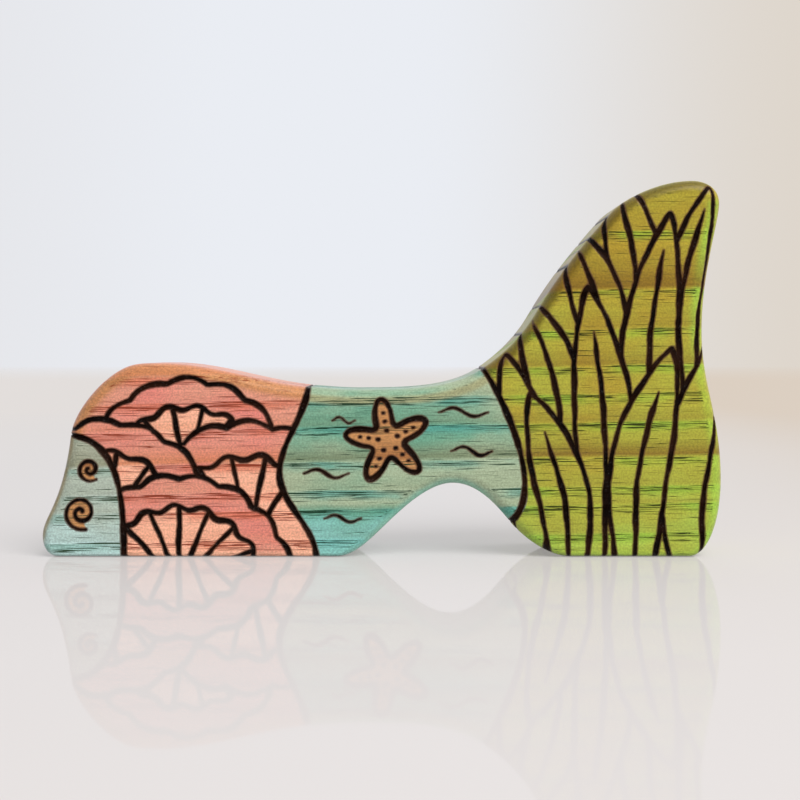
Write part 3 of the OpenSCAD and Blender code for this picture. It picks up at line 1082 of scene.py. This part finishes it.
# White lacquer, sprayed and polished: the eye gets a pale floor with a sharp but faint mirror image. Lacquer
# has an IOR of about 1.5. It is lower here, because the picture's mirror image is fainter than that gives.
lacquer = bpy.data.materials.new("white_lacquer_polished")
lacquer.use_nodes = True
put = partial(add, lacquer.node_tree)
glossy_top = lacquer.node_tree.nodes["Principled BSDF"]
glossy_top.inputs["Base Color"].default_value = linear("#dad5d4")
glossy_top.inputs["Roughness"].default_value = 0.03
glossy_top.inputs["IOR"].default_value = 1.11
place = put("NewGeometry")
aside = put("VectorMath", {0: place, 1: (1, 0, 0)}, **DOT)
depth = put("VectorMath", {0: place, 1: (0, 1, 0)}, **DOT)
away = put("VectorMath", {0: place}, out="Value", operation="LENGTH")
warm = put("MapRange", {0: aside, 1: 0.08, 2: 0.32}, **STEP)
sheen = put("Mix", {0: warm, 6: linear("#e3dedb"), 7: linear("#dccfc1")}, **RGB)
plain = put("Emission", {"Color": sheen, "Strength": 1.0})
share = put("MapRange", {0: away, 1: 0.1, 2: 0.9, 3: 0.37, 4: 0.95})
# Near the block the lacquer shows most. Further off a pale sheen takes over, and then the room.
looking, mirrored = looked_at(put)
veil = put("Math", {0: looking, 1: share}, **TIMES)
surface = put("MixShader", {0: veil, 1: glossy_top.outputs[0], 2: plain})
far_off = put("MapRange", {0: depth, 1: 2.2, 2: 4.5})
surface = put("MixShader", {0: far_off, 1: surface, 2: put("BsdfTransparent")})
lacquer.node_tree.links.new(surface, lacquer.node_tree.nodes["Material Output"].inputs["Surface"])
table.data.materials.append(lacquer)
print("the lacquer has", len(lacquer.node_tree.nodes), "nodes")

# %% [markdown]
# The room is bright all round, with one large window high on the right in front and a weaker one behind. It
# could be a picture of a room, but a pale colour that turns warm to the right and two lamps are enough.
# The varnish mirrors the front window's glow from the room's own colour, so the lamps are left out of
# mirror images.

# %% the room
WINDOW = (0.75, -0.95, 1.2)
WINDOW_GLOW = 4.5
world = bpy.data.worlds.new("pale_room")
bpy.context.scene.world = world
world.use_nodes = True
tree = world.node_tree
put = partial(add, tree)
lighting = tree.nodes["Background"]
lighting.inputs["Color"].default_value = linear("#f4f6fa")
lighting.inputs["Strength"].default_value = 0.37
toward = put("TexCoord", out="Generated")
rightward = put("VectorMath", {0: toward, 1: (1, 0, 0)}, **DOT)
forward = put("VectorMath", {0: toward, 1: (0, 1, 0)}, **DOT)
warm = put("MapRange", {0: rightward, 1: 0.0, 2: 0.28}, **STEP)
clear = put("MapRange", {0: rightward, 1: -0.3, 2: -0.1}, **STEP)
wall = put("Mix", {0: clear, 6: linear("#e6e7eb"), 7: linear("#eaedf3")}, **RGB)
wall = put("Mix", {0: warm, 6: wall, 7: linear("#ded6cc")}, **RGB)
# In mirror images the room is dimmer on the viewer's side, apart from the glow of the window.
looking, mirrored = looked_at(put)
unlit = put("MapRange", {0: forward, 1: 0.2, 2: -0.8, 4: 0.75}, **STEP)
dim = put("Math", {0: unlit, 1: mirrored}, **TIMES)
to_window = tuple(np.array(WINDOW) / np.linalg.norm(WINDOW))
near = put("VectorMath", {0: toward, 1: to_window}, **DOT)
glow = put("MapRange", {0: near, 1: 0.86, 2: 0.98, 3: 0.0, 4: WINDOW_GLOW}, **STEP)
glow = put("Math", {0: glow, 1: mirrored, 2: 1.0}, **TIMES_PLUS)
seen = put("Background", {"Color": wall, "Strength": put("Math", {0: glow, 1: dim}, operation="SUBTRACT")})
mixed = put("MixShader", {0: looking, 1: lighting.outputs[0], 2: seen})
tree.links.new(mixed, tree.nodes["World Output"].inputs["Surface"])
print("the room has", len(tree.nodes), "nodes")

# %% the lamps
for name, place, aim, watts, size in (
    ("window", WINDOW, (46, 0, 38), 33.0, 1.4),
    ("far_window", (0.6, 0.9, 1.4), (-34, 0, -34), 6.0, 1.4),
):
    lamp = bpy.data.lights.new(name, "AREA")
    lamp.energy = watts
    lamp.size = size
    lamp_object = bpy.data.objects.new(name, lamp)
    lamp_object.location = place
    lamp_object.rotation_euler = [math.radians(a) for a in aim]
    lamp_object.visible_glossy = False
    bpy.context.collection.objects.link(lamp_object)
print("lit by", [lamp.name for lamp in bpy.data.lights])

# %% [markdown]
# The camera looks straight along the depth of the block from 354 mm in front of its face, 50 mm above the
# table. It could be tilted, but then upright lines would lean, so it is level, and a small shift puts
# the horizon where the picture has it.

# %% the camera
EYE = (4.5, -354.0 - THICKNESS / 2, 50.4)
FOCAL_PIXELS = 1448.0
IMAGE_PIXELS = 800.0
HORIZON_RISE = 48.7
camera = bpy.data.cameras.new("camera")
camera.sensor_width = 36.0
camera.lens = camera.sensor_width * FOCAL_PIXELS / IMAGE_PIXELS
camera.shift_y = -HORIZON_RISE / IMAGE_PIXELS
camera.clip_start = 0.01
camera_object = bpy.data.objects.new("camera", camera)
camera_object.location = tuple(v * MM for v in EYE)
camera_object.rotation_euler = (math.radians(90), 0, 0)
bpy.context.collection.objects.link(camera_object)
bpy.context.scene.camera = camera_object
bpy.context.scene.view_settings.view_transform = "Standard"
print("lens in mm:", camera.lens)
